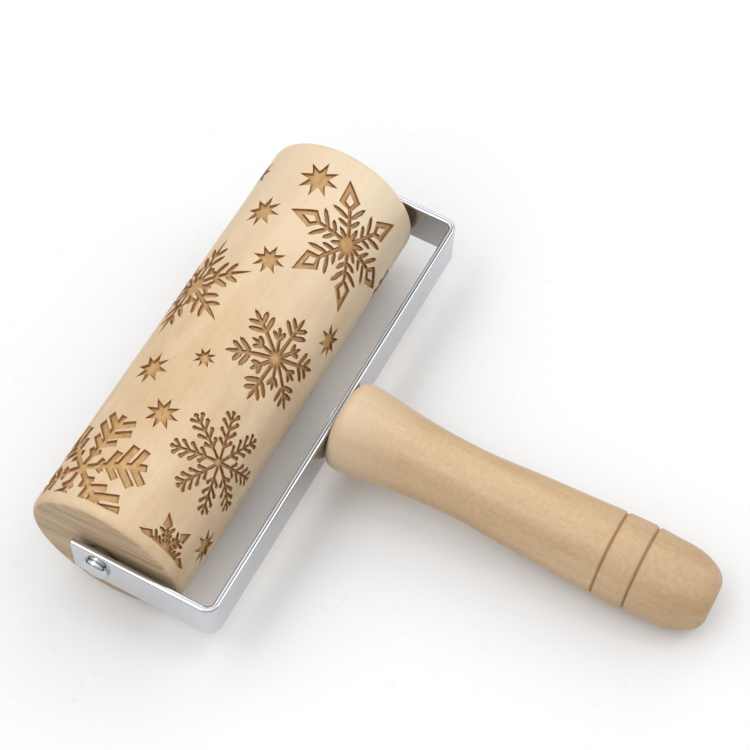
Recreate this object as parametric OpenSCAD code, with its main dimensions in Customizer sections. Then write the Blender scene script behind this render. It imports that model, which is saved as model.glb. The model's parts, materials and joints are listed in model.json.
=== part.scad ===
// Hand roller with an engraved wooden barrel, a flat-strip U frame and a turned wooden handle.
// It lies as it rests on a table: the barrel and the rear of the handle touch the surface at Z = 0.
// The origin is on that surface, under the middle of the barrel. X runs along the axle, from the
// left arm to the right arm, and the handle points towards -Y.

/* [Barrel] */
// Outer diameter of the wooden barrel
barrel_d = 43; // [38:0.5:50]
// Length of the wooden barrel
barrel_len = 123; // [100:1:180]
// Radius of the rounded edge at each end of the barrel
barrel_edge_r = 2; // [0.5:0.5:3]
// Depth of the engraved pattern below the barrel's surface
engrave_depth = 0.9; // [0.5:0.1:1.2]
// Width of the plain band at each end of the barrel
plain_band = 3.5; // [3:0.5:8]

/* [Axle and bushes] */
// Diameter of the steel axle rod
axle_d = 5; // [4:0.5:6]
// Gap round the axle in the bushes, on the radius
running_gap = 0.06; // [0.02:0.01:0.1]
// Outer diameter of the bush that sits in the barrel
bush_d = 9; // [8:0.5:11]
// Length of the bush inside the barrel
bush_len = 12; // [6:1:20]
// Diameter of the bush's nose, which keeps the barrel off the arm
nose_d = 7.4; // [7:0.1:8]
// How far the nose stands out of the barrel
nose_t = 1.2; // [0.8:0.1:1.4]
// Diameter of the domed cap on each end of the axle
cap_d = 7.2; // [7:0.1:9]
// Height of the cap above the arm
cap_h = 1.6; // [1.5:0.1:3]

/* [Frame] */
// Height of the flat steel strip
strip_h = 14; // [12:0.5:20]
// Thickness of the flat steel strip
strip_t = 1.8; // [1.5:0.1:2.5]
// Gap between each end of the barrel and its arm
end_gap = 1.7; // [1.5:0.1:3]
// How far each arm reaches past the middle of the axle
arm_tip = 7; // [6:0.5:12]
// Clear space between the barrel and the back bar
back_gap = 10.2; // [8:0.1:20]
// Inside radius of the two bends
bend_r = 1.8; // [1:0.1:5]

/* [Handle] */
// Length of the wooden handle
handle_len = 104; // [95:1:140]
// Radius of the rounded front edge, next to the back bar
shoulder_r = 3.5; // [2:0.5:4.5]
// Radius of the small flat at the rear end
butt_flat_r = 4.5; // [3:0.5:6]
// Length of the rounded rear end
butt_len = 12; // [8:1:14]
// Width of each turned groove
groove_w = 1.2; // [0.8:0.1:2]
// Depth of each turned groove
groove_depth = 0.7; // [0.5:0.1:1.5]
// Distance between the two turned grooves
groove_pitch = 8.6; // [6:0.1:12]

/* [Handle screw] */
// Diameter of the screw shank
screw_d = 4; // [3:0.5:5]
// Length of the shank inside the handle
screw_grip = 30; // [20:1:40]
// Diameter of the screw head
screw_head_d = 7.6; // [7:0.1:9]
// Height of the low, flat screw head
screw_head_h = 0.9; // [0.8:0.1:2]

/* [Hidden] */

barrel_r = barrel_d / 2;
axle_r = axle_d / 2;
frame_w = barrel_len + 2 * (end_gap + strip_t);
back_y = -(barrel_r + back_gap + strip_t);
screw_r = screw_d / 2;
fit_gap = 0.02;
hole_gap = 0.05;
cap_wall = 0.6;
over = 1;

// Stations along the grip: distance from the front face of the handle, and radius there.
GRIP = [[5, 12], [15, 10.75], [26, 9.75], [38, 9.45], [52, 10.2], [68, 10.9], [82, 11.4], [92, 11]];
STEPS = 6;
GROOVE_AT = 75.8;

// The pattern is laid out flat: distance along X, and arc length round the barrel from its top
// towards +Y. A flake is [kind, along, arc, radius, turn], and a star is [along, arc, radius].
KITE = 0;
FERN = 1;
FORKED = 2;
TWIG = 3;
CHEVRON = 4;
FLAKES = [
    [KITE, 38.5, -14.8, 18.2, 30], [FORKED, 0, -15.5, 14, -3], [TWIG, -31.5, -18, 13.7, 18],
    [KITE, -57.5, -18.5, 8.8, 30], [CHEVRON, -50.5, 12, 16.3, -8], [FERN, 9, 17.5, 17, -3],
    [TWIG, -36, 46, 13, 0], [KITE, -3, 50, 14.5, 0], [FORKED, 32, 44, 14.5, 30],
    [CHEVRON, 43, -50, 15, 30], [FERN, 5, -52, 16, 30], [FORKED, -27, -51, 13.5, 30],
    [KITE, -54, -60, 9, 0]
];
STARS = [
    [50, 1.5, 5.8], [35.5, 10.5, 5.3], [22, 0.5, 4.6], [-11, 0, 3], [-18.5, 11.5, 5], [-29.5, 1, 4.6],
    [16, -27.5, 4.8], [-48.5, -31, 5], [-15, 33, 4.5], [51, 24, 5], [-18, 66, 4.5], [17, 64, 4.8],
    [49, 62, 5.2], [-42, 64.5, 3.5], [52, 43, 3.2], [-54, 34, 3.5]
];

// The handle touches the table at its rear station, which sets how far the tool leans back.
rest_s = GRIP[7][0] - back_y;
rest_r = GRIP[7][1];
lean = asin((barrel_r - rest_r) / rest_s);

// Puts a shape from the tool's own frame (axle at the origin, strip level) into the rest pose.
module at_rest() {
    translate([0, 0, barrel_r]) rotate([lean, 0, 0]) children();
}

// A cylinder along X, from x0 to x1.
module x_rod(x0, x1, r) {
    translate([x0, 0, 0]) rotate([0, 90, 0]) cylinder(h = x1 - x0, r = r, $fn = 96);
}

// ---- barrel ----

// Half outline of the barrel, with rounded end edges, to be turned about its axis.
module barrel_outline() {
    half = barrel_len / 2;
    e = barrel_edge_r;
    translate([0, -half]) square([barrel_r - e, barrel_len]);
    translate([0, e - half]) square([barrel_r, barrel_len - 2 * e]);
    for (s = [-1, 1]) translate([barrel_r - e, s * (half - e)]) circle(r = e, $fn = 48);
}

module barrel_blank() {
    rotate([0, 90, 0]) rotate_extrude($fn = 144) barrel_outline();
}

module barrel() {
    half = barrel_len / 2;
    color("BurlyWood") at_rest() difference() {
        barrel_blank();
        pattern();
        x_rod(-half - over, half + over, axle_r + 0.8);
        for (s = [-1, 1])
            x_rod(s * half - (s > 0 ? bush_len : over), s * half + (s > 0 ? over : bush_len), bush_d / 2);
    }
}

// ---- engraved pattern ----

// Puts children on the barrel's skin at p, a point of the flat layout.
module on_skin(p) {
    rotate([-p[1] / barrel_r * 180 / PI, 0, 0]) translate([p[0], 0, barrel_r]) children();
}

function turned(p, a) = [p[0] * cos(a) - p[1] * sin(a), p[0] * sin(a) + p[1] * cos(a)];

function is_inside(p) = abs(p[0]) <= barrel_len / 2 - plain_band;

// An arm is [centre of the flake, length, direction]. Places on it are in arm lengths.
function on_arm(arm, p) = arm[0] + turned(p * arm[1], arm[2]);

// A straight cut from p to q, w wide. Cuts that would reach the plain band are left out.
module cut(arm, p, q, w) {
    a = on_arm(arm, p);
    b = on_arm(arm, q);
    d = b - a;
    if (is_inside(a) && is_inside(b))
        on_skin((a + b) / 2) rotate([0, 0, atan2(d[1], d[0])])
            cube([norm(d), w, 2 * engrave_depth], center = true);
}

// The stem, in pieces short enough for their flat floors to follow the curve of the skin. Each
// piece is a little narrower than the one before it, so the stem tapers towards its tip.
module stem(arm, t, w) {
    longest = 7.5;
    step = 0.12;
    n = ceil(t * arm[1] / longest);
    for (i = [0 : n - 1]) cut(arm, [i * t / n, 0], [(i + 1) * t / n + 0.01, 0], w - i * step);
}

// The round hollow where the stems of a flake meet, a touch deeper than they are.
module hub(p, r) {
    if (is_inside(p)) on_skin(p) translate([0, 0, -engrave_depth - 0.05]) rotate([0, 0, 7.5])
        cylinder(h = 2 * engrave_depth, r = r, $fn = 12);
}

// A pair of cuts that spread from the stem at t, by l along it and s across it.
module leaves(arm, t, l, s, w) {
    for (side = [-1, 1]) cut(arm, [t, 0], [t + l, side * s], w);
}

// A kite-shaped ring from t to the tip of the arm.
module kite(arm, t) {
    l = (1 - t) * arm[1];
    if (is_inside(on_arm(arm, [1, 0])))
        on_skin(on_arm(arm, [(1 + t) / 2, 0])) rotate([0, 0, arm[2]])
            translate([0, 0, -engrave_depth]) linear_extrude(2 * engrave_depth) difference() {
                polygon([[-l / 2, 0], [-l / 6, l / 3], [l / 2, 0], [-l / 6, -l / 3]]);
                polygon([[-0.36 * l, 0], [-0.22 * l, 0.12 * l], [0.04 * l, 0], [-0.22 * l, -0.12 * l]]);
            }
}

module kite_arm(arm) {
    stem(arm, 0.55, 1.5);
    kite(arm, 0.54);
    leaves(arm, 0.25, 0.13, 0.17, 1.2);
    leaves(arm, 0.38, 0.2, 0.25, 1.3);
}

module fern_arm(arm) {
    stem(arm, 1, 1.3);
    leaves(arm, 0.38, 0.26, 0.24, 1.4);
    leaves(arm, 0.58, 0.22, 0.19, 1.3);
}

module forked_arm(arm) {
    between = [arm[0], arm[1], arm[2] + 30];
    stem(arm, 1, 1.4);
    leaves(arm, 0.53, 0.19, 0.27, 1.2);
    leaves(arm, 0.68, 0.17, 0.19, 1.2);
    stem(between, 0.56, 1.1);
    leaves(between, 0.36, 0.14, 0.12, 1);
}

module twig_arm(arm) {
    stem(arm, 1, 1);
    for (t = [0.32, 0.54, 0.76]) leaves(arm, t, 0.16, 0.15, 0.9);
}

module chevron_arm(arm) {
    stem(arm, 1, 2);
    leaves(arm, 0.24, 0.12, 0.12, 1.6);
    leaves(arm, 0.42, 0.15, 0.21, 1.9);
    leaves(arm, 0.6, 0.22, 0.34, 2.1);
    leaves(arm, 0.8, 0.2, 0.28, 2);
}

module flake(f) {
    kind = f[0];
    count = kind == TWIG ? 8 : 6;
    hub([f[1], f[2]], kind == FERN ? 3 : 1.9);
    for (k = [0 : count - 1]) {
        arm = [[f[1], f[2]], f[3], f[4] + k * 360 / count];
        if (kind == KITE) kite_arm(arm);
        if (kind == FERN) fern_arm(arm);
        if (kind == FORKED) forked_arm(arm);
        if (kind == TWIG) twig_arm(arm);
        if (kind == CHEVRON) chevron_arm(arm);
    }
}

// An eight-pointed star with its waist at 0.45 of its radius.
module star(s) {
    on_skin([s[0], s[1]]) translate([0, 0, -engrave_depth]) linear_extrude(2 * engrave_depth)
        polygon([for (i = [0 : 15]) (i % 2 == 0 ? s[2] : 0.45 * s[2]) * [cos(i * 22.5), sin(i * 22.5)]]);
}

module pattern() {
    for (f = FLAKES) flake(f);
    for (s = STARS) star(s);
}

// ---- bushes, axle and caps ----

// Stepped nylon bush; side is -1 for the left end and 1 for the right end.
module bush(side) {
    half = barrel_len / 2;
    color([0.2, 0.17, 0.14]) at_rest() mirror([side < 0 ? 1 : 0, 0, 0]) difference() {
        union() {
            x_rod(half - bush_len, half, bush_d / 2 - fit_gap);
            x_rod(half - bush_len, half + nose_t, nose_d / 2);
        }
        x_rod(half - bush_len - over, half + nose_t + over, axle_r + running_gap);
    }
}

module left_bush() { bush(-1); }

module right_bush() { bush(1); }

module axle_rod() {
    reach = frame_w / 2 + cap_h - cap_wall;
    color("Silver") at_rest() x_rod(-reach, reach, axle_r);
}

// Half outline of a push-on cap, seated on the arm at height 0.
module cap_outline() {
    soft = 1.1;
    difference() {
        union() {
            square([cap_d / 2, cap_h - soft]);
            square([cap_d / 2 - soft, cap_h]);
            translate([cap_d / 2 - soft, cap_h - soft]) circle(r = soft, $fn = 32);
        }
        square([axle_r + fit_gap, cap_h - cap_wall + fit_gap]);
        translate([0, -cap_h]) square([cap_d, cap_h]);
    }
}

module axle_cap(side) {
    color("Silver") at_rest() translate([side * frame_w / 2, 0, 0]) rotate([0, side * 90, 0])
        rotate_extrude($fn = 96) cap_outline();
}

module left_axle_cap() { axle_cap(-1); }

module right_axle_cap() { axle_cap(1); }

// ---- frame ----

// Outline of a U that is open towards +Y, w wide, from y0 to y1, with corner radius r.
module u_outline(w, y0, y1, r) {
    translate([-w / 2, y0 + r]) square([w, y1 - y0 - r]);
    translate([r - w / 2, y0]) square([w - 2 * r, 2 * r]);
    for (s = [-1, 1]) translate([s * (w / 2 - r), y0 + r]) circle(r = r, $fn = 96);
}

module frame() {
    color("LightSteelBlue") at_rest() difference() {
        translate([0, 0, -strip_h / 2]) linear_extrude(strip_h) difference() {
            u_outline(frame_w, back_y, arm_tip, bend_r + strip_t);
            u_outline(frame_w - 2 * strip_t, back_y + strip_t, arm_tip + over, bend_r);
        }
        x_rod(-frame_w, frame_w, axle_r + hole_gap);
        translate([0, back_y - over, 0]) rotate([-90, 0, 0])
            cylinder(h = strip_t + 2 * over, r = screw_r + hole_gap, $fn = 64);
    }
}

// ---- handle and its screw ----

// Catmull-Rom value through b and c at t, with neighbours a and d.
function spline(a, b, c, d, t) =
    b + 0.5 * t * (c - a + t * (2 * a - 5 * b + 4 * c - d + t * (3 * (b - c) + d - a)));

function grip_point(i, t) = let (n = len(GRIP) - 1)
    spline(GRIP[max(i - 1, 0)], GRIP[i], GRIP[i + 1], GRIP[min(i + 2, n)], t);

function grip_curve() = [
    for (i = [0 : len(GRIP) - 2], k = [0 : STEPS - 1]) grip_point(i, k / STEPS),
    GRIP[len(GRIP) - 1]
];

function front_edge() = [
    for (a = [0 : 15 : 75]) [shoulder_r * (1 - cos(a)), GRIP[0][1] - shoulder_r * (1 - sin(a))]
];

function rear_end() = let (u0 = handle_len - butt_len, r0 = GRIP[7][1] - butt_flat_r) [
    for (a = [10 : 10 : 90]) [u0 + butt_len * sin(a), butt_flat_r + r0 * cos(a)]
];

// Half outline of the handle: radius along X, distance from the front face along Y.
module handle_outline() {
    side = concat([[0, 0]], front_edge(), grip_curve(), rear_end(), [[handle_len, 0]]);
    polygon([for (p = side) [p[1], p[0]]]);
}

// A V groove, cut in from outside the grip at distance u from the front face.
module groove(u, r) {
    polygon([[r - groove_depth, u], [r + over, u - groove_w], [r + over, u + groove_w]]);
}

// Turns a half outline about the handle's axis, from the back bar towards the rear.
module on_handle_axis() {
    at_rest() translate([0, back_y, 0]) rotate([90, 0, 0]) children();
}

module handle() {
    color("Tan") on_handle_axis() difference() {
        rotate_extrude($fn = 144) difference() {
            handle_outline();
            groove(GROOVE_AT, 11.2);
            groove(GROOVE_AT + groove_pitch, 11.4);
        }
        translate([0, 0, -over]) cylinder(h = screw_grip + 2 + over, r = screw_r + fit_gap, $fn = 64);
    }
}

// Seat of the screw head: the inside face of the back bar, measured along the handle's axis.
seat = -strip_t;

module handle_screw() {
    head_z = seat - screw_head_h;
    recess_w = 0.9;
    recess_l = 3.2;
    recess_h = 1.6;
    color("Gainsboro") on_handle_axis() difference() {
        union() {
            translate([0, 0, head_z]) cylinder(h = screw_head_h, r = screw_head_d / 2, $fn = 64);
            translate([0, 0, head_z]) cylinder(h = screw_grip - 4 - head_z, r = screw_r, $fn = 64);
            translate([0, 0, screw_grip - 4]) cylinder(h = 4, r1 = screw_r, r2 = 0.4, $fn = 64);
        }
        for (a = [0, 90]) rotate([0, 0, a]) translate([-recess_w / 2, -recess_l / 2, head_z - over])
            cube([recess_w, recess_l, recess_h + over]);
    }
}

barrel();
left_bush();
right_bush();
axle_rod();
left_axle_cap();
right_axle_cap();
frame();
handle();
handle_screw();
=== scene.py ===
import json
import math

import bmesh
import bpy
import numpy as np
from mathutils import Matrix, Vector
from mathutils.geometry import delaunay_2d_cdt


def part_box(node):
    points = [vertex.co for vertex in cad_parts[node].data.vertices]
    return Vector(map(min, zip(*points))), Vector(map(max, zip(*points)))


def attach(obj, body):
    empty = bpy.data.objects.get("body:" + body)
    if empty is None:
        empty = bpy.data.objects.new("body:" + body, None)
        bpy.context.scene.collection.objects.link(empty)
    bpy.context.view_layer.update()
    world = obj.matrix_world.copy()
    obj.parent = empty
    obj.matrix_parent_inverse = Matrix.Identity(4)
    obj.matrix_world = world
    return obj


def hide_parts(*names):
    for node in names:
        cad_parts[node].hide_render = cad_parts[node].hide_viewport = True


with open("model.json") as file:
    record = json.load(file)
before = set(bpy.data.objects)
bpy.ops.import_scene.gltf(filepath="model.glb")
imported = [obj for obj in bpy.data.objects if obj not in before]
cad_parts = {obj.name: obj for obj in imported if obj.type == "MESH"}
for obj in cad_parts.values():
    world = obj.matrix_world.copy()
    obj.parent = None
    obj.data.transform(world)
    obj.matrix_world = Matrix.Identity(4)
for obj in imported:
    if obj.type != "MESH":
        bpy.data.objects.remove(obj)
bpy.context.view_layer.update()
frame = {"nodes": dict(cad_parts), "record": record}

RECORD = frame["record"]
MM = 0.001

# The tool leans on its handle: TOOL takes its own frame (axle at the origin, strip level) to the
# rest pose. Lengths below are in millimetres in that frame, as in the CAD source.
AXLE = Vector(RECORD["behaviour"]["joints"][0]["pos_m"])
BUTT = next(m for m in RECORD["mounts"] if m["name"] == "handle_butt")
LEAN = math.asin(-BUTT["axis"][2])
TOOL = Matrix.Translation(AXLE) @ Matrix.Rotation(LEAN, 4, "X") @ Matrix.Scale(MM, 4)

BARREL_R = AXLE.z / MM
HALF_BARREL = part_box("barrel")[1][0] / MM
HALF_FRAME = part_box("frame")[1][0] / MM
# The strip's height and thickness, the ends of its arms, the rear face of its back bar and the
# inside radius of its bends.
STRIP_H = 14.0
STRIP_T = 1.8
ARM_TIP = 7.0
BACK_Y = -33.5
BEND_R = 1.8
HANDLE_LEN = 104.0
# The seats of the bushes in the barrel's ends, and the bore between them.
BUSH_R = 4.5
BUSH_LEN = 12.0
BORE_R = 3.3

# Edges shorter than this, in metres, are taken out of a mesh.
TINY = 1e-7

# ---------------------------------------------------------------- meshes


def new_object(name, verts, faces, body, material, stands_for, sharp=None):
    """Makes a piece from points in the tool's own frame, and says what it rides on and replaces.

    Edges that turn by more than sharp degrees keep a hard shade.
    """
    mesh = bpy.data.meshes.new(name)
    mesh.from_pydata([TOOL @ Vector(v) for v in verts], [], faces)
    mesh.materials.append(material)
    mesh.polygons.foreach_set("use_smooth", [True] * len(mesh.polygons))
    if sharp is not None:
        mesh.set_sharp_from_angle(angle=math.radians(sharp))
    mesh.update()
    piece = bpy.data.objects.new(name, mesh)
    bpy.context.scene.collection.objects.link(piece)
    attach(piece, body)
    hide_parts(stands_for)
    return piece


def outward(piece, merge=None):
    """Turns every face of a closed piece outward, after joining points closer than merge metres."""
    bm = bmesh.new()
    bm.from_mesh(piece.data)
    if merge is not None:
        bmesh.ops.remove_doubles(bm, verts=bm.verts, dist=merge)
        bmesh.ops.dissolve_degenerate(bm, edges=bm.edges, dist=TINY)
    bmesh.ops.recalc_face_normals(bm, faces=bm.faces)
    bm.to_mesh(piece.data)
    bm.free()


def ring_faces(rings, count):
    """Quads between successive closed rings of count points each."""
    faces = []
    for k in range(rings - 1):
        for i in range(count):
            j = (i + 1) % count
            faces.append((k * count + i, k * count + j, (k + 1) * count + j, (k + 1) * count + i))
    return faces


# ---------------------------------------------------------------- the engraved pattern

# The barrel's skin is laid out flat: x along the barrel, y the arc length round it from the top
# towards +Y, in millimetres. A flake is (kind, x, y, radius, turn); a star is (x, y, radius).
FLAKES = [
    ("kite", 38.5, -14.8, 18.2, 30), ("forked", 0.0, -15.5, 14.0, -3), ("twig", -31.5, -18.0, 13.7, 18),
    ("kite", -57.5, -18.5, 8.8, 30), ("chevron", -50.5, 12.0, 16.3, -8), ("fern", 9.0, 17.5, 17.0, -3),
    ("twig", -36.0, 46.0, 13.0, 0), ("kite", -3.0, 50.0, 14.5, 0), ("forked", 32.0, 44.0, 14.5, 30),
    ("chevron", 43.0, -50.0, 15.0, 30), ("fern", 5.0, -52.0, 16.0, 30),
    ("forked", -27.0, -51.0, 13.5, 30), ("kite", -54.0, -60.0, 9.0, 0),
]
STARS = [
    (50.0, 1.5, 5.8), (35.5, 10.5, 5.3), (22.0, 0.5, 4.6), (-11.0, 0.0, 3.0), (-18.5, 11.5, 5.0),
    (-29.5, 1.0, 4.6), (16.0, -27.5, 4.8), (-48.5, -31.0, 5.0), (-15.0, 33.0, 4.5), (51.0, 24.0, 5.0),
    (-18.0, 66.0, 4.5), (17.0, 64.0, 4.8), (49.0, 62.0, 5.2), (-42.0, 64.5, 3.5), (52.0, 43.0, 3.2),
    (-54.0, 34.0, 3.5),
]
# The plain band at each end of the barrel, and the depth of the pattern.
PLAIN_BAND = 3.5
ENGRAVE_DEPTH = 0.65
# How far in from a cut's edge its wall ends, its scorch and painted shade fade and its clean floor
# starts.
WALL_FOOT = 0.18
SCORCH_SHADE_FADE = 0.32
CLEAN_FLOOR = 0.75
# The finest cut, and the radius below which a flake's kites have no island.
THINNEST = 1.05
SMALL_KITE = 10.0
# The barrel's girth, its rounded edges, and the steps of its mesh.
ROUND = 2 * math.pi * BARREL_R
EDGE_R = 2.0
STEPS_ROUND = 96
STEPS_ALONG = 48


def lens(p, q, w, full):
    """A pointed leaf from p to q, w wide at its middle; a larger full keeps it wide for longer."""
    p, q = np.array(p, float), np.array(q, float)
    along = q - p
    across = np.array([-along[1], along[0]]) / np.linalg.norm(along)
    steps = np.linspace(0.0, 1.0, 7)
    half = [0.5 * w * max(0.0, math.sin(math.pi * s)) ** (1.0 / (1.0 + full)) for s in steps]
    right = [p + s * along - h * across for s, h in zip(steps, half)]
    left = [p + s * along + h * across for s, h in zip(steps[-2:0:-1], half[-2:0:-1])]
    return np.array(right + left)


def bar(p, q, w0, w1=None, round_end=False):
    """A straight bar from p to q, w0 wide at p and w1 at q, with a square or a round far end."""
    w1 = w0 if w1 is None else w1
    p, q = np.array(p, float), np.array(q, float)
    d = (q - p) / np.linalg.norm(q - p)
    n = np.array([-d[1], d[0]])
    if not round_end:
        return np.array([p - n * w0 / 2, q - n * w1 / 2, q + n * w1 / 2, p + n * w0 / 2])
    turn = [math.radians(a) for a in (-90, -50, -15, 15, 50, 90)]
    cap = [q + w1 / 2 * (math.cos(a) * d + math.sin(a) * n) for a in turn]
    return np.array([p - n * w0 / 2] + cap + [p + n * w0 / 2])


def disc(c, r, sides=8):
    turn = [2 * math.pi * (i + 0.5) / sides for i in range(sides)]
    return np.array([[c[0] + r * math.cos(a), c[1] + r * math.sin(a)] for a in turn])


def both_sides(shapes):
    """The shapes and their mirror images across the arm."""
    mirrored = [(flip(cut), [flip(i) for i in islands]) for cut, islands in shapes]
    return shapes + mirrored


def flip(points):
    """Points mirrored across the arm, in the order that keeps the outline's sense."""
    return (points * [1, -1])[::-1]


def stroke(r, share):
    """Width of a cut: a share of the flake's radius, but never finer than the engraving tool."""
    return max(share * r, THINNEST)


def leaf_pair(r, t, length, spread, share, full):
    """Two leaves that start on the stem at t and spread from it."""
    end = ((t + length) * r, spread * r)
    return both_sides([(lens((t * r, 0), end, stroke(r, share), full), [])])


def kite_arm(r):
    """A stem with two leaf pairs and a kite at its tip, which is cut out whole in a small flake."""
    outer = np.array([[0.49, 0], [0.64, -0.165], [1.0, 0], [0.64, 0.165]]) * r
    island = np.array([[0.58, 0], [0.65, -0.06], [0.78, 0], [0.65, 0.06]]) * r
    islands = [island] if r > SMALL_KITE else []
    shapes = [(bar((0, 0), (0.52 * r, 0), stroke(r, 0.075), stroke(r, 0.06)), []), (outer, islands)]
    shapes += leaf_pair(r, 0.37, 0.21, 0.26, 0.075, 1.6)
    shapes += leaf_pair(r, 0.25, 0.13, 0.18, 0.07, 1.6)
    return shapes


def kite_between(r):
    return [(lens((0, 0), (0.30 * r, 0), stroke(r, 0.085), 1.2), [])]


def fern_arm(r):
    """A pointed stem with two pairs of full leaves."""
    shapes = [(lens((0.1 * r, 0), (r, 0), stroke(r, 0.08), 0.9), []),
              (bar((0, 0), (0.6 * r, 0), stroke(r, 0.08)), [])]
    shapes += leaf_pair(r, 0.36, 0.26, 0.25, 0.10, 2.6)
    shapes += leaf_pair(r, 0.57, 0.21, 0.19, 0.09, 2.6)
    return shapes


def fern_between(r):
    shapes = [(bar((0, 0), (0.38 * r, 0), stroke(r, 0.085), round_end=True), [])]
    shapes += both_sides([(lens((0.27 * r, 0), (0.42 * r, 0.12 * r), stroke(r, 0.075), 2.4), [])])
    return shapes


def forked_arm(r):
    """A stem with a pointed tip and two pairs of blunt leaves."""
    shapes = [(bar((0, 0), (0.84 * r, 0), stroke(r, 0.09), stroke(r, 0.075)), []),
              (lens((0.6 * r, 0), (r, 0), stroke(r, 0.085), 1.2), [])]
    shapes += leaf_pair(r, 0.52, 0.21, 0.28, 0.105, 3.2)
    shapes += leaf_pair(r, 0.67, 0.19, 0.20, 0.10, 3.2)
    return shapes


def forked_between(r):
    shapes = [(bar((0, 0), (0.42 * r, 0), stroke(r, 0.08)), []),
              (lens((0.38 * r, 0), (0.60 * r, 0), stroke(r, 0.08), 1.6), [])]
    shapes += both_sides([(lens((0.34 * r, 0), (0.51 * r, 0.13 * r), stroke(r, 0.095), 3.0), [])])
    return shapes


def twig_arm(r):
    """A stem with four pairs of twigs, each with a round end."""
    tip = (0.95 * r, 0)
    shapes = [(bar((0, 0), tip, 0.075 * r, 0.05 * r), []), (disc(tip, 0.05 * r), [])]
    for t, length in ((0.29, 0.12), (0.45, 0.15), (0.62, 0.15), (0.79, 0.12)):
        end = ((t + length) * r, 0.95 * length * r)
        twig = bar((t * r, 0), end, 0.052 * r, 0.075 * r)
        shapes += both_sides([(twig, []), (disc(end, 0.048 * r), [])])
    return shapes


def chevron_arm(r):
    """A broad stem with four pairs of square-ended bars."""
    shapes = [(bar((0, 0), (1.04 * r, 0), 0.10 * r, 0.125 * r), [])]
    for root, end, width in ((0.26, (0.36, 0.12), 0.09), (0.44, (0.59, 0.24), 0.12),
                             (0.62, (0.83, 0.34), 0.135), (0.82, (1.0, 0.28), 0.125)):
        far = (end[0] * r, end[1] * r)
        shapes += both_sides([(bar((root * r, 0), far, width * r), [])])
    return shapes


# For each kind of flake: the number of arms, what makes an arm, and what makes the part between
# two arms. HEARTS gives the radius of its round middle, as a share of the flake's radius.
ARMS = {"kite": (6, kite_arm, kite_between), "fern": (6, fern_arm, fern_between),
        "forked": (6, forked_arm, forked_between), "twig": (8, twig_arm, None),
        "chevron": (6, chevron_arm, None)}
HEARTS = {"kite": 0.13, "fern": 0.19, "forked": 0.11, "twig": 0.08, "chevron": 0.11}


def placed(points, x, y, degrees):
    a = math.radians(degrees)
    turn = np.array([[math.cos(a), math.sin(a)], [-math.sin(a), math.cos(a)]])
    return points @ turn + [x, y]


def flake(kind, x, y, r, degrees):
    count, arm, between = ARMS[kind]
    shapes = []
    for k in range(count):
        a = degrees + 360.0 * k / count
        for maker, extra in ((arm, 0.0), (between, 180.0 / count)):
            if maker is not None:
                shapes += [(placed(cut, x, y, a + extra), [placed(i, x, y, a + extra) for i in islands])
                           for cut, islands in maker(r)]
    shapes.append((placed(disc((0, 0), HEARTS[kind] * r, 12), x, y, degrees), []))
    return shapes


def star(x, y, r):
    """Eight rays: four long rhombi through the centre."""
    waist = 0.304 * r
    rhombus = np.array([[-r, 0], [0, -waist], [r, 0], [0, waist]])
    shapes = [(placed(rhombus, x, y, 45.0 * k), []) for k in range(4)]
    shapes.append((placed(disc((0, 0), 0.42 * r, 8), x, y, 0.0), []))
    return shapes


def all_cuts():
    """Every cut of the pattern, with a copy across the seam of the layout where one is needed."""
    shapes = []
    for f in FLAKES:
        shapes += flake(*f)
    for s in STARS:
        shapes += star(*s)
    out = []
    for cut, islands in shapes:
        for shift in (-ROUND, 0.0, ROUND):
            moved = cut + [0, shift]
            if moved[:, 1].max() > -ROUND / 2 - 1 and moved[:, 1].min() < ROUND / 2 + 1:
                out.append((moved, [i + [0, shift] for i in islands]))
    return out


def half_planes(poly):
    """Outward unit normals and offsets of a convex polygon's sides, counter-clockwise."""
    area = np.sum(poly[:, 0] * np.roll(poly[:, 1], -1) - poly[:, 1] * np.roll(poly[:, 0], -1))
    if area < 0:
        poly = poly[::-1]
    d = np.roll(poly, -1, axis=0) - poly
    n = np.stack([d[:, 1], -d[:, 0]], 1) / np.linalg.norm(d, axis=1)[:, None]
    return n, np.sum(n * poly, axis=1)


def clipped(poly, n, c):
    """The part of a convex polygon where n . p <= c."""
    out = []
    side = poly @ n - c
    for i in range(len(poly)):
        j = (i + 1) % len(poly)
        if side[i] <= 0:
            out.append(poly[i])
        if (side[i] < 0 < side[j]) or (side[j] < 0 < side[i]):
            t = side[i] / (side[i] - side[j])
            out.append(poly[i] + t * (poly[j] - poly[i]))
    return np.array(out) if len(out) > 2 else None


def grown(poly, d):
    """A convex polygon with its sides moved out by d, or in where d is negative."""
    n, c = half_planes(poly)
    pad = abs(d) * 4 + 1
    low, high = poly.min(0) - pad, poly.max(0) + pad
    out = np.array([low, [high[0], low[1]], high, [low[0], high[1]]])
    for ni, ci in zip(n, c):
        out = clipped(out, ni, ci + d)
        if out is None:
            return None
    return out


def distance(points, cuts):
    """Signed distance from each point to the edge of the engraving: negative inside a cut."""
    far = 9.0
    reach = 0.3
    best = np.full(len(points), far)
    for cut, islands in cuts:
        low, high = cut.min(0) - reach, cut.max(0) + reach
        near = np.nonzero(np.all((points > low) & (points < high), axis=1))[0]
        if not len(near):
            continue
        p = points[near]
        n, c = half_planes(cut)
        d = (p @ n.T - c).max(1)
        for island in islands:
            ni, ci = half_planes(island)
            d = np.maximum(d, -(p @ ni.T - ci).max(1))
        best[near] = np.minimum(best[near], d)
    limit = HALF_BARREL - PLAIN_BAND
    return np.maximum(best, np.abs(points[:, 0]) - limit)


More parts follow.
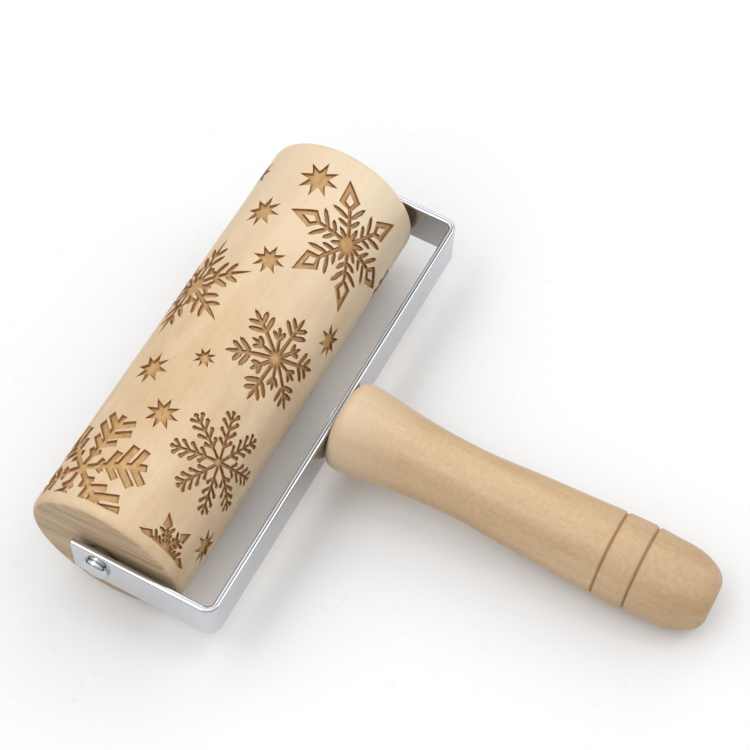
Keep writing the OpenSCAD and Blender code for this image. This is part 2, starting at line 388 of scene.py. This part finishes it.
def outline_edges(cuts):
    """Points and edges of every outline, wall foot and scorch-and-shade line, in pieces that can bend.
    """
    points, edges = [], []
    overlap = 0.3
    limit = HALF_BARREL - PLAIN_BAND + overlap
    longest = 1.4

    def add_loop(poly):
        for n, c in ((np.array([1.0, 0]), limit), (np.array([-1.0, 0]), limit)):
            if poly is not None:
                poly = clipped(poly, n, c)
        if poly is None:
            return
        first = len(points)
        for i in range(len(poly)):
            a, b = poly[i], poly[(i + 1) % len(poly)]
            pieces = max(1, math.ceil(np.linalg.norm(b - a) / longest))
            points.extend(a + (b - a) * k / pieces for k in range(pieces))
        count = len(points) - first
        edges.extend((first + i, first + (i + 1) % count) for i in range(count))

    for cut, islands in cuts:
        for inset in (0.0, -WALL_FOOT, -SCORCH_SHADE_FADE, -CLEAN_FLOOR):
            add_loop(cut if inset == 0.0 else grown(cut, inset))
            for island in islands:
                add_loop(island if inset == 0.0 else grown(island, -inset))
    return points, edges


def layout_grid(edge_x):
    """Rows of points all over the layout, with its four sides as edges."""
    ys = np.linspace(-ROUND / 2, ROUND / 2, STEPS_ROUND + 1)
    xs = np.linspace(-edge_x, edge_x, STEPS_ALONG + 1)
    points = [(x, y) for y in ys for x in xs]
    row = STEPS_ALONG + 1
    last = STEPS_ROUND * row
    edges = []
    for i in range(STEPS_ALONG):
        edges += [(i, i + 1), (last + i, last + i + 1)]
    for k in range(STEPS_ROUND):
        edges += [(k * row, (k + 1) * row), (k * row + STEPS_ALONG, (k + 1) * row + STEPS_ALONG)]
    return points, edges


def on_barrel(x, y, r):
    a = y / BARREL_R
    return (x, r * math.sin(a), r * math.cos(a))


def end_mesh(side, first):
    """Points and quads from the skin's edge round the arris, over the end face and down the bore."""
    start = HALF_BARREL - EDGE_R
    seat = HALF_BARREL - BUSH_LEN
    profile = [(start, BARREL_R)]
    for degrees in range(15, 91, 15):
        a = math.radians(degrees)
        profile.append((start + EDGE_R * math.sin(a), BARREL_R - EDGE_R + EDGE_R * math.cos(a)))
    profile += [(HALF_BARREL, r) for r in (16.0, 12.0, 8.0, BUSH_R)]
    profile += [(seat, BUSH_R), (seat, BORE_R), (0.0, BORE_R)]
    ys = np.linspace(-ROUND / 2, ROUND / 2, STEPS_ROUND + 1)[:-1]
    verts = [on_barrel(side * x, y, r) for x, r in profile for y in ys]
    quads = [tuple(first + i for i in quad) for quad in ring_faces(len(profile), STEPS_ROUND)]
    return verts, quads if side < 0 else [quad[::-1] for quad in quads]


def wobble(p, reach=0.07):
    """A hand-finished unevenness of the outlines that closes on itself round the barrel."""
    fade_over = 0.6
    x, a = p[:, 0], p[:, 1] / BARREL_R
    dx = np.sin(2.1 * x + 31 * a) + np.sin(3.7 * x - 53 * a + 1.0) + 0.7 * np.sin(6.1 * x + 87 * a)
    dy = np.sin(2.6 * x - 37 * a + 2.0) + np.sin(4.3 * x + 61 * a) + 0.7 * np.sin(5.3 * x - 97 * a)
    fade = np.clip((HALF_BARREL - PLAIN_BAND - np.abs(x)) / fade_over, 0.0, 1.0)
    return p + 0.5 * reach * fade[:, None] * np.stack([dx, dy], 1)


def flat_skin(cuts):
    """The skin laid out flat, with every outline as an edge: points, triangles and their middles."""
    edge_x = HALF_BARREL - EDGE_R
    points, edges = layout_grid(edge_x)
    more, more_edges = outline_edges(cuts)
    edges += [(a + len(points), b + len(points)) for a, b in more_edges]
    points += [tuple(p) for p in more]
    flat, _, tris, *_ = delaunay_2d_cdt([Vector(p) for p in points], edges, [], 0, 1e-5, False)
    flat = np.array([[v.x, v.y] for v in flat])
    tris = np.array(tris)
    middle = flat[tris].mean(1)
    keep = (np.abs(middle[:, 0]) < edge_x) & (np.abs(middle[:, 1]) < ROUND / 2)
    return flat, tris[keep], middle[keep]


def make_barrel(material):
    """The skin, sunk where it is cut, with both ends. Its corners say what is cut and how dark its
    scorch and painted shade are.
    """
    cuts = all_cuts()
    flat, tris, middle = flat_skin(cuts)
    depth_in = -distance(flat, cuts)
    sunk = np.clip(depth_in / WALL_FOOT, 0.0, 1.0) * ENGRAVE_DEPTH
    verts = [on_barrel(x, y, BARREL_R - s) for (x, y), s in zip(wobble(flat), sunk)]
    faces = [tuple(t[::-1]) for t in tris.tolist()]
    is_cut = distance(middle, cuts) < -0.001
    # Scorch with painted shade: darkened from the lip of a cut down, most at the wall's foot where
    # shade falls, and not at all on a wide floor.
    scorch_and_shade = np.interp(depth_in, [0.0, WALL_FOOT, SCORCH_SHADE_FADE, CLEAN_FLOOR], [0.6, 1.0, 0.42, 0.0])
    corner = [(float(c), float(scorch_and_shade[i]) if c else 0.0) for t, c in zip(faces, is_cut) for i in t]
    for side in (-1, 1):
        more, quads = end_mesh(side, len(verts))
        verts += more
        faces += quads
        corner += [(0.0, 0.0)] * (4 * len(quads))
    piece = new_object("engraved_barrel", verts, faces, "roller", material, "barrel")
    layer = piece.data.color_attributes.new("engraving", "FLOAT_COLOR", "CORNER")
    layer.data.foreach_set("color", [v for cut, scorch_shade in corner for v in (cut, scorch_shade, 0.0, 1.0)])
    outward(piece, merge=3e-6)
    piece.data.set_sharp_from_angle(angle=math.radians(38))


# ---------------------------------------------------------------- handle

# Stations along the grip: distance from the handle's front face, and radius there.
GRIP = [(5, 12), (15, 10.75), (26, 9.75), (38, 9.45), (52, 10.2), (68, 10.9), (82, 11.4), (92, 11)]
SHOULDER_R = 3.5
BUTT_LEN = 12.0
BUTT_FLAT_R = 4.5
GROOVES = (75.8, 84.4)
GROOVE_HALF = 0.6
GROOVE_DEPTH = 0.7


def spline(a, b, c, d, t):
    """Catmull-Rom value between b and c."""
    return b + 0.5 * t * (c - a + t * (2 * a - 5 * b + 4 * c - d + t * (3 * (b - c) + d - a)))


def grip_radius(u):
    for i in range(len(GRIP) - 1):
        if u <= GRIP[i + 1][0]:
            a, b = GRIP[max(i - 1, 0)], GRIP[i]
            c, d = GRIP[i + 1], GRIP[min(i + 2, len(GRIP) - 1)]
            return spline(a[1], b[1], c[1], d[1], (u - b[0]) / (c[0] - b[0]))
    return GRIP[-1][1]


def groove_cut(u):
    """Depth of the two V grooves at u, with softly rounded lips."""
    lip_start = 0.85
    lip_end = 1.3
    cut = 0.0
    for g in GROOVES:
        x = abs(u - g) / GROOVE_HALF
        if x < lip_start:
            cut = max(cut, GROOVE_DEPTH * (1 - x))
        elif x < lip_end:
            cut = max(cut, GROOVE_DEPTH * 0.74 * (lip_end - x) ** 2)
    return cut


def handle_profile():
    """Half outline of the handle: distance from its front face, and radius."""
    innermost = 3.0
    near_groove = (0.07, 0.25, 0.5, 0.65, 0.8, 1.0)
    profile = [(0.0, innermost)]
    steps = 8
    for k in range(steps + 1):
        a = math.pi / 2 * k / steps
        profile.append((SHOULDER_R * (1 - math.cos(a)), GRIP[0][1] - SHOULDER_R * (1 - math.sin(a))))
    stations = list(np.arange(SHOULDER_R + 1.0, HANDLE_LEN - BUTT_LEN, 1.0))
    for g in GROOVES:
        stations = [u for u in stations if abs(u - g) > 1.2]
        stations += [g + side * s for s in near_groove for side in (-1, 1)]
    for u in sorted(stations):
        profile.append((u, grip_radius(max(u, GRIP[0][0])) - groove_cut(u)))
    u0, r0 = HANDLE_LEN - BUTT_LEN, GRIP[-1][1] - BUTT_FLAT_R
    rear = 16
    for k in range(rear + 1):
        a = math.pi / 2 * k / rear
        profile.append((u0 + BUTT_LEN * math.sin(a), BUTT_FLAT_R + r0 * math.cos(a)))
    profile += [(HANDLE_LEN, BUTT_FLAT_R * 0.8), (HANDLE_LEN, BUTT_FLAT_R * 0.4)]
    return profile


def lathe(profile, count):
    """A turned solid about the handle's axis, closed with a point at each end."""
    verts = []
    for u, r in profile:
        for i in range(count):
            a = 2 * math.pi * i / count
            verts.append((r * math.sin(a), BACK_Y - u, r * math.cos(a)))
    faces = ring_faces(len(profile), count)
    for ring, u, flip_it in ((0, profile[0][0], True), (len(profile) - 1, profile[-1][0], False)):
        verts.append((0.0, BACK_Y - u, 0.0))
        tip = len(verts) - 1
        for i in range(count):
            a, b = ring * count + i, ring * count + (i + 1) % count
            faces.append((b, a, tip) if flip_it else (a, b, tip))
    return verts, faces


def make_handle(material):
    """The turned handle. Its points say how deep in a groove they lie."""
    count = 144
    profile = handle_profile()
    verts, faces = lathe(profile, count)
    piece = new_object("turned_handle", verts, faces, "tool", material, "handle",
                       sharp=50)
    depth = [groove_cut(u) / GROOVE_DEPTH for u, _ in profile for _ in range(count)] + [0.0, 0.0]
    piece.data.attributes.new("groove", "FLOAT", "POINT").data.foreach_set("value", depth)
    outward(piece)


# ---------------------------------------------------------------- frame


def strip_section(edge):
    """Outline of the strip across its length: (towards the outside, up), with rounded corners."""
    out = []
    steps = 7
    for cx, cz, start in ((1, 1, 0), (-1, 1, 90), (-1, -1, 180), (1, -1, 270)):
        for k in range(steps + 1):
            a = math.radians(start + 90 * k / steps)
            out.append((cx * (STRIP_T / 2 - edge) + edge * math.cos(a),
                        cz * (STRIP_H / 2 - edge) + edge * math.sin(a)))
    return out


def strip_path():
    """Points of the strip's middle line with their outward normals, from arm tip to arm tip."""
    half = HALF_FRAME - STRIP_T / 2
    back = BACK_Y + STRIP_T / 2
    r = BEND_R + STRIP_T / 2
    path = [((-half, y), (-1.0, 0.0)) for y in np.linspace(ARM_TIP, back + r, 9)]
    steps = 14
    for k in range(1, steps + 1):
        a = math.pi / 2 * k / steps
        n = (-math.cos(a), -math.sin(a))
        path.append(((-half + r + r * n[0], back + r + r * n[1]), n))
    path += [((x, back), (0.0, -1.0)) for x in np.linspace(-half + r, half - r, 25)[1:-1]]
    for k in range(steps + 1):
        a = math.pi / 2 * k / steps
        n = (math.sin(a), -math.cos(a))
        path.append(((half - r + r * n[0], back + r + r * n[1]), n))
    path += [((half, y), (1.0, 0.0)) for y in np.linspace(back + r, ARM_TIP, 9)[1:]]
    return path


def make_frame(material):
    """The bent strip, swept along its path, with small round edges at its two tips."""
    edge = 0.72
    tip_edge = 0.3
    section = strip_section(edge)
    count = len(section)
    path = strip_path()
    verts = []

    def add_ring(at, normal, inset, shift):
        for across, up in section:
            a = across * (1 - inset / (STRIP_T / 2))
            z = up * (1 - inset / (STRIP_H / 2))
            verts.append((at[0] + a * normal[0], at[1] + a * normal[1] + shift, z))

    bevel = [math.radians(a) for a in (90, 60, 30, 0)]
    for a in bevel:
        add_ring(path[0][0], path[0][1], tip_edge * (1 - math.cos(a)), tip_edge * (math.sin(a) - 1))
    for at, normal in path[1:-1]:
        add_ring(at, normal, 0.0, 0.0)
    for a in reversed(bevel):
        add_ring(path[-1][0], path[-1][1], tip_edge * (1 - math.cos(a)), tip_edge * (math.sin(a) - 1))
    rings = len(verts) // count
    faces = ring_faces(rings, count)
    faces.append(tuple(range(count)))
    faces.append(tuple(range((rings - 1) * count, rings * count))[::-1])
    piece = new_object("chrome_frame", verts, faces, "tool", material, "frame")
    outward(piece)
    keep_flats_flat(piece)


def keep_flats_flat(piece):
    """Shades large flats as flat, with the small round edges taking the turn."""
    mod = piece.modifiers.new("flats", "WEIGHTED_NORMAL")
    mod.mode = "FACE_AREA"
    mod.weight = 80
    mod.keep_sharp = True


# ---------------------------------------------------------------- axle caps

# The cap's radius and height, and how far its rim is rounded.
CAP_R = 3.6
CAP_H = 1.6
CAP_SOFT = 1.1


def make_cap(side, node, material):
    """A pressed-on cap with a rounded rim, seated on the arm's outer face."""
    chamfer = 0.15
    crown = 0.1
    steps = 10
    count = 64
    shoulder = CAP_H - CAP_SOFT
    profile = [(0.0, CAP_R - chamfer), (chamfer, CAP_R), (shoulder, CAP_R)]
    for k in range(1, steps + 1):
        a = math.radians(84) * k / steps
        out = shoulder + (CAP_SOFT - crown) * math.sin(a)
        profile.append((out, CAP_R - CAP_SOFT * (1 - math.cos(a))))
    profile += [(CAP_H - 0.7 * crown, 1.8), (CAP_H - 0.2 * crown, 0.9), (CAP_H, 0.3)]
    verts = []
    for out, r in profile:
        for i in range(count):
            a = 2 * math.pi * i / count
            verts.append((side * (HALF_FRAME + out), r * math.sin(a), r * math.cos(a)))
    faces = ring_faces(len(profile), count)
    faces.append(tuple(range(count)))
    faces.append(tuple(range(len(verts) - count, len(verts))))
    piece = new_object(node.replace("axle_cap", "domed_cap"), verts, faces, "tool",
                       material, node, sharp=60)
    outward(piece, merge=1e-6)


# ---------------------------------------------------------------- materials


def srgb(r, g, b):
    """A shader colour from 0-255 values."""
    def one(v):
        v /= 255
        return v / 12.92 if v <= 0.04045 else ((v + 0.055) / 1.055) ** 2.4
    return (one(r), one(g), one(b), 1.0)


class Shader:
    """A small helper that adds linked nodes to one material."""

    def __init__(self, name):
        self.material = bpy.data.materials.new(name)
        self.material.use_nodes = True
        self.tree = self.material.node_tree
        self.main = self.tree.nodes["Principled BSDF"]

    def node(self, kind, settings=None, **links):
        """A new node. In an input's name here, an underscore stands for a space."""
        made = self.tree.nodes.new(kind)
        for key, value in (settings or {}).items():
            setattr(made, key, value)
        for key, value in links.items():
            self.put(made.inputs[key.replace("_", " ")], value)
        return made

    def put(self, socket, value):
        """Links the value to the socket if it is another node's output, or else sets it."""
        if isinstance(value, bpy.types.NodeSocket):
            self.tree.links.new(value, socket)
        else:
            socket.default_value = value

    def object_point(self, scale, turn=(0.0, 0.0, 0.0), shift=(0.0, 0.0, 0.0)):
        """A point of the piece, turned first and stretched after."""
        point = self.node("ShaderNodeTexCoord").outputs["Object"]
        level = self.node("ShaderNodeMapping", Vector=point, Rotation=turn)
        made = self.node("ShaderNodeMapping", Vector=level.outputs["Vector"], Scale=scale,
                         Location=shift)
        return made.outputs["Vector"]

    def noise(self, vector, scale, detail=3.0, rough=0.5, distortion=0.0):
        made = self.node("ShaderNodeTexNoise", Vector=vector, Scale=scale, Detail=detail,
                         Roughness=rough, Distortion=distortion)
        return made.outputs["Fac"]

    def ramp(self, value, stops):
        made = self.node("ShaderNodeValToRGB", Fac=value)
        ramp = made.color_ramp
        while len(ramp.elements) < len(stops):
            ramp.elements.new(0.5)
        for element, (at, colour) in zip(ramp.elements, stops):
            element.position = at
            element.color = colour
        return made.outputs["Color"]

    def span(self, value, low, high, to_low=0.0, to_high=1.0):
        """The value stretched from low..high to to_low..to_high, and held at both ends."""
        made = self.node("ShaderNodeMapRange", Value=value)
        for key, v in (("From Min", low), ("From Max", high), ("To Min", to_low), ("To Max", to_high)):
            made.inputs[key].default_value = v
        return made.outputs["Result"]

    def mix(self, kind, amount, a, b):
        made = self.node("ShaderNodeMix", {"data_type": "RGBA", "blend_type": kind})
        self.put(made.inputs[0], amount)
        self.put(made.inputs[6], a)
        self.put(made.inputs[7], b)
        return made.outputs[2]

    def maths(self, kind, a, b=0.0):
        made = self.node("ShaderNodeMath", {"operation": kind})
        self.put(made.inputs[0], a)
        self.put(made.inputs[1], b)
        return made.outputs[0]

    def bump(self, height, strength, distance):
        made = self.node("ShaderNodeBump", Height=height, Strength=strength, Distance=distance)
        return made.outputs["Normal"]

    def finish(self, **values):
        for key, value in values.items():
            self.put(self.main.inputs[key.replace("_", " ")], value)
        return self.material


def wood_figure(s, turn, pith, seed):
    """Broad tone, growth rings, fine streaks and short flecks of wood whose grain runs along X."""
    shift = (seed, 0.37 * seed, 0.11 * seed)
    cloud = s.noise(s.object_point((9.0, 38.0, 38.0), turn, shift), 1.0, 3.0, 0.5, 0.6)
    rings = s.node("ShaderNodeTexWave", {"wave_type": "RINGS", "rings_direction": "X"},
                   Vector=s.object_point((3.0, 30.0, 30.0), turn, pith),
                   Scale=1.2, Distortion=3.0, Detail=2.0)
    rings.inputs["Detail Scale"].default_value = 0.7
    streak = s.noise(s.object_point((14.0, 520.0, 520.0), turn, shift), 1.0, 4.0, 0.6)
    fleck = s.noise(s.object_point((320.0, 2100.0, 2100.0), turn, shift), 1.0, 2.0, 0.5)
    return cloud, rings.outputs["Fac"], streak, fleck


def barrel_wood():
    """Pale wood with sawn ends and engraved cuts, with painted shade on the ends and in the cuts'
    scorch.
    """
    s = Shader("barrel_wood_look")
    cloud, rings, streak, fleck = wood_figure(s, (0.0, 0.0, 0.0), (0.0, 0.6, 0.9), 4.0)
    tone = s.ramp(cloud, [(0.3, srgb(210, 183, 146)), (0.5, srgb(223, 198, 163)),
                          (0.72, srgb(233, 213, 183))])
    tone = s.mix("MULTIPLY", s.span(rings, 0.5, 1.0, 0.0, 0.10), tone, srgb(216, 184, 146))
    tone = s.mix("MULTIPLY", s.span(streak, 0.5, 0.75, 0.0, 0.08), tone, srgb(216, 186, 150))
    mottle = s.noise(s.object_point((170.0, 300.0, 300.0)), 1.0, 6.0, 0.65, 0.4)
    tone = s.mix("MULTIPLY", s.span(mottle, 0.42, 0.68, 0.0, 0.22), tone, srgb(226, 204, 176))
    tone = s.mix("MULTIPLY", s.span(fleck, 0.58, 0.72, 0.0, 0.14), tone, srgb(196, 160, 118))
    # Painted shade and light: the wood is darker and browner towards the barrel's left end and paler
    # towards its right end, as the light falls.
    along = s.node("ShaderNodeSeparateXYZ", Vector=s.object_point((1.0, 1.0, 1.0))).outputs["X"]
    tone = s.mix("MULTIPLY", s.span(along, 0.01, -0.06, 0.0, 0.9), tone, srgb(238, 232, 227))
    tone = s.mix("MIX", s.span(along, 0.0, 0.06, 0.0, 0.4), tone, srgb(236, 220, 196))
    # The sawn ends show straight dark grain and are darker than the turned side: partly the end grain's
    # own tone, partly painted shade on faces turned from the light.
    face = s.node("ShaderNodeSeparateXYZ", Vector=s.node("ShaderNodeNewGeometry").outputs["Normal"])
    ends = s.span(s.maths("ABSOLUTE", face.outputs["X"]), 0.70, 0.86)
    saw = s.noise(s.object_point((20.0, 40.0, 2300.0), (-0.02, 0.0, 0.0)), 1.0, 3.0, 0.6)
    band = s.noise(s.object_point((20.0, 12.0, 260.0), (-0.02, 0.0, 0.0)), 1.0, 2.0, 0.5)
    end_grain_and_shade = s.ramp(band, [(0.3, srgb(180, 154, 120)), (0.7, srgb(202, 178, 145))])
    end_grain_and_shade = s.mix("MULTIPLY", s.span(saw, 0.42, 0.66, 0.0, 0.5), end_grain_and_shade, srgb(170, 136, 98))
    tone = s.mix("MIX", ends, tone, end_grain_and_shade)
    # The cuts have browner floors, darkened where the corners say so by scorch and painted shade, and a
    # rougher surface.
    engraving = s.node("ShaderNodeAttribute", {"attribute_name": "engraving"})
    cut = s.node("ShaderNodeSeparateColor", Color=engraving.outputs["Color"])
    speck = s.noise(s.object_point((500.0, 1400.0, 1400.0)), 1.0, 3.0, 0.6)
    smoke = s.noise(s.object_point((190.0, 190.0, 190.0)), 1.0, 3.0, 0.6)
    floor = s.ramp(smoke, [(0.3, srgb(176, 134, 82)), (0.5, srgb(192, 151, 98)),
                           (0.7, srgb(206, 168, 117))])
    floor = s.mix("MULTIPLY", s.span(speck, 0.45, 0.7, 0.0, 0.35), floor, srgb(176, 130, 84))
    # Scorch and painted shade, as much as the corners carry, darken the floor towards a deep brown.
    dark = s.maths("MULTIPLY", cut.outputs["Green"], s.span(smoke, 0.3, 0.7, 0.55, 1.1))
    floor = s.mix("MIX", s.span(dark, 0.1, 0.95, 0.0, 0.95), floor, srgb(106, 58, 21))
    colour = s.mix("MIX", cut.outputs["Red"], tone, floor)
    fuzz = s.mix("MIX", cut.outputs["Red"], streak, speck)
    normal = s.bump(fuzz, 0.25, 0.00012)
    return s.finish(Base_Color=colour, Roughness=s.span(streak, 0.3, 0.8, 0.55, 0.66), Normal=normal)


def handle_wood():
    """The handle's wood, whose grain runs along the handle, with painted shade in the grooves."""
    s = Shader("handle_wood_look")
    turn = (-LEAN, 0.0, math.radians(90))
    cloud, rings, streak, fleck = wood_figure(s, turn, (0.2, 0.9, 0.4), 9.0)
    tone = s.ramp(cloud, [(0.3, srgb(193, 163, 125)), (0.5, srgb(205, 177, 140)),
                          (0.72, srgb(214, 188, 153))])
    tone = s.mix("MULTIPLY", s.span(rings, 0.4, 1.0, 0.0, 0.16), tone, srgb(206, 170, 124))
    tone = s.mix("MULTIPLY", s.span(streak, 0.45, 0.72, 0.0, 0.16), tone, srgb(208, 172, 126))
    tone = s.mix("MULTIPLY", s.span(fleck, 0.55, 0.7, 0.0, 0.08), tone, srgb(178, 138, 94))
    mottle = s.noise(s.object_point((900.0, 900.0, 900.0)), 1.0, 7.0, 0.75, 0.3)
    tone = s.mix("MULTIPLY", s.span(mottle, 0.4, 0.66, 0.0, 0.34), tone, srgb(216, 190, 156))
    # Painted shade: the deeper a point lies in a groove, the darker it is.
    groove = s.node("ShaderNodeAttribute", {"attribute_name": "groove"}).outputs["Fac"]
    tone = s.mix("MULTIPLY", s.span(groove, 0.3, 0.9, 0.0, 0.8), tone, srgb(186, 154, 120))
    # Painted light and shade: the wood is paler at the neck, as a painted highlight, and darker and
    # browner at the butt, as painted shade.
    along = s.node("ShaderNodeSeparateXYZ", Vector=s.object_point((1.0, 1.0, 1.0))).outputs["Y"]
    tone = s.mix("MIX", s.span(along, -0.055, -0.034, 0.0, 0.35), tone, srgb(232, 214, 190))
    tone = s.mix("MULTIPLY", s.span(along, -0.10, -0.13, 0.0, 0.9), tone, srgb(236, 230, 225))
    normal = s.bump(streak, 0.2, 0.0001)
    return s.finish(Base_Color=tone, Roughness=s.span(streak, 0.3, 0.8, 0.46, 0.58), Normal=normal)


def chrome(name, tint):
    """Bright plate with faint wipe marks and a barely uneven surface."""
    s = Shader(name)
    smear = s.noise(s.object_point((40.0, 60.0, 60.0)), 1.0, 4.0, 0.6)
    ripple = s.noise(s.object_point((90.0, 90.0, 90.0)), 1.0, 1.0, 0.4)
    colour = s.mix("MIX", s.span(smear, 0.35, 0.7), tint, tuple(0.94 * v for v in tint[:3]) + (1.0,))
    return s.finish(Base_Color=colour, Metallic=1.0, Roughness=s.span(smear, 0.3, 0.75, 0.05, 0.14),
                    Normal=s.bump(ripple, 0.05, 0.0004))


def steel(name, tint):
    """Drawn steel with fine lines along X."""
    s = Shader(name)
    line = s.noise(s.object_point((30.0, 900.0, 900.0)), 1.0, 3.0, 0.6)
    colour = s.mix("MIX", s.span(line, 0.3, 0.7), tint, tuple(0.8 * v for v in tint[:3]) + (1.0,))
    return s.finish(Base_Color=colour, Metallic=1.0, Roughness=s.span(line, 0.3, 0.7, 0.22, 0.36))


def nylon():
    """Nylon painted dark brown as shade, since the bush's nose shows above the near arm where there is
    only shade.
    """
    s = Shader("bush_nylon_look")
    cloud = s.noise(s.object_point((200.0, 200.0, 200.0)), 1.0, 3.0, 0.5)
    colour = s.ramp(cloud, [(0.3, srgb(92, 80, 66)), (0.7, srgb(112, 98, 82))])
    return s.finish(Base_Color=colour, Roughness=0.45, Normal=s.bump(cloud, 0.1, 0.0001))


def table_top():
    """A pale matt surface with faint specks."""
    s = Shader("table_look")
    speck = s.noise(s.object_point((260.0, 260.0, 260.0)), 1.0, 4.0, 0.6)
    cloud = s.noise(s.object_point((6.0, 6.0, 6.0)), 1.0, 2.0, 0.5)
    colour = s.ramp(cloud, [(0.3, (0.775, 0.775, 0.78, 1.0)), (0.7, (0.795, 0.795, 0.795, 1.0))])
    colour = s.mix("MULTIPLY", s.span(speck, 0.62, 0.8, 0.0, 0.25), colour, srgb(214, 210, 206))
    return s.finish(Base_Color=colour, Roughness=0.5, Normal=s.bump(speck, 0.05, 0.0002))


# ---------------------------------------------------------------- stage, lights, camera


def make_table(material):
    """The pale floor that the tool lies on."""
    bpy.ops.mesh.primitive_plane_add(size=6.0, location=(0, 0, 0))
    table = bpy.context.object
    table.name = "table_top"
    table.data.materials.append(material)


# The strength of the dome, and how much stronger a soft box is.
DOME_LIGHT = 0.87
BOX_LIGHT = 1.35


def make_world():
    """A pale studio dome with a dark horizon, three bright soft boxes and one dark patch on it."""
    world = bpy.data.worlds.new("studio")
    bpy.context.scene.world = world
    world.use_nodes = True
    tree = world.node_tree

    def linked(kind, *values, **settings):
        made = tree.nodes.new(kind)
        for key, value in settings.items():
            setattr(made, key, value)
        for socket, value in zip(made.inputs, values):
            if isinstance(value, bpy.types.NodeSocket):
                tree.links.new(value, socket)
            else:
                socket.default_value = value
        return made.outputs

    def soft_box(x_range, y_range, soft=0.06):
        """One inside a range of directions and nought outside it, with soft edges."""
        inside = 1.0
        for axis, (low, high) in (("X", x_range), ("Y", y_range)):
            for start, end in ((low, low + soft), (high, high - soft)):
                edge = linked("ShaderNodeMapRange", direction[axis], start, end, 0.0, 1.0)
                inside = linked("ShaderNodeMath", edge["Result"], inside, operation="MULTIPLY")[0]
        return inside

    point = linked("ShaderNodeTexCoord")["Generated"]
    direction = linked("ShaderNodeSeparateXYZ", point)
    dome = linked("ShaderNodeValToRGB", direction["Z"])["Color"]
    # Grey by height: dark at the horizon and brightest overhead.
    ramp = tree.nodes["Color Ramp"].color_ramp
    for at, value in ((0.20, 0.12), (0.38, 0.78), (0.75, 0.94)):
        ramp.elements.new(at).color = (0.98 * value, 0.99 * value, value, 1.0)
    ramp.elements[0].color = (0.05, 0.05, 0.05, 1.0)
    ramp.elements[-1].color = (1.86, 1.88, 1.90, 1.0)
    behind_bar = soft_box((0.12, 0.80), (-0.95, -0.24))
    left_of_arm = soft_box((-0.92, -0.12), (0.05, 0.52))
    along_gap = soft_box((0.50, 0.98), (-0.24, 0.30))
    boxes = linked("ShaderNodeMath", behind_bar, left_of_arm, operation="MAXIMUM")[0]
    boxes = linked("ShaderNodeMath", boxes, along_gap, operation="MAXIMUM")[0]
    bright = linked("ShaderNodeMath", boxes, BOX_LIGHT, DOME_LIGHT, operation="MULTIPLY_ADD")[0]
    to_patch = Vector((0.44, -0.04, 0.90)).normalized()
    near = linked("ShaderNodeVectorMath", point, to_patch, operation="DOT_PRODUCT")["Value"]
    patch = linked("ShaderNodeMapRange", near, 0.968, 0.985, 1.0, 0.12)["Result"]
    back = tree.nodes["Background"]
    tree.links.new(dome, back.inputs["Color"])
    strength = linked("ShaderNodeMath", bright, patch, operation="MULTIPLY")[0]
    tree.links.new(strength, back.inputs["Strength"])


def make_key_light():
    """One large soft light, behind the barrel and above it."""
    place = Vector((-0.05, 0.85, 1.05))
    aim = Vector((0.0, -0.04, 0.0))
    data = bpy.data.lights.new("key", "AREA")
    data.shape = "RECTANGLE"
    data.size = 1.1
    data.size_y = 0.9
    data.energy = 2.0
    data.color = (1.0, 0.985, 0.96)
    lamp = bpy.data.objects.new("key", data)
    lamp.location = place
    lamp.rotation_euler = (aim - place).to_track_quat("-Z", "Y").to_euler()
    bpy.context.scene.collection.objects.link(lamp)


# The view: the camera looks down on the barrel's left end, from beyond the left arm. Angles are in
# degrees, lengths in metres and the lens in millimetres.
CAMERA_HEADING = 57.1
CAMERA_ELEVATION = 58.3
CAMERA_ROLL = -5.3
CAMERA_DISTANCE = 0.5178
CAMERA_AIM = Vector((0.0147, -0.035, 0.0215))
CAMERA_LENS = 96.0


def make_camera():
    heading = math.radians(CAMERA_HEADING)
    elevation = math.radians(CAMERA_ELEVATION)
    roll = math.radians(CAMERA_ROLL)
    flat = math.cos(elevation)
    forward = Vector((math.sin(heading) * flat, math.cos(heading) * flat, -math.sin(elevation)))
    level = forward.cross(Vector((0, 0, 1))).normalized()
    right = level * math.cos(roll) + level.cross(forward) * math.sin(roll)
    upward = right.cross(forward)
    data = bpy.data.cameras.new("view")
    data.lens = CAMERA_LENS
    data.sensor_width = 36.0
    data.clip_start = 0.01
    camera = bpy.data.objects.new("view", data)
    camera.matrix_world = Matrix.Translation(CAMERA_AIM - forward * CAMERA_DISTANCE) @ Matrix(
        (right, upward, -forward)).transposed().to_4x4()
    bpy.context.scene.collection.objects.link(camera)
    bpy.context.scene.camera = camera


def set_look(node, material):
    """Gives a CAD node its material."""
    piece = frame["nodes"][node]
    if piece.material_slots:
        for slot in piece.material_slots:
            slot.material = material
    else:
        piece.data.materials.append(material)


make_camera()
make_world()
make_key_light()
make_table(table_top())
make_barrel(barrel_wood())
make_handle(handle_wood())
make_frame(chrome("frame_chrome_look", (0.60, 0.61, 0.635, 1.0)))
cap_look = chrome("cap_chrome_look", (0.60, 0.61, 0.63, 1.0))
make_cap(-1, "left_axle_cap", cap_look)
make_cap(1, "right_axle_cap", cap_look)
set_look("axle_rod", steel("axle_steel_look", (0.55, 0.56, 0.58, 1.0)))
set_look("handle_screw", steel("screw_steel_look", (0.62, 0.63, 0.65, 1.0)))
bush_look = nylon()
set_look("left_bush", bush_look)
set_look("right_bush", bush_look)
bpy.context.scene.view_settings.view_transform = "Standard"
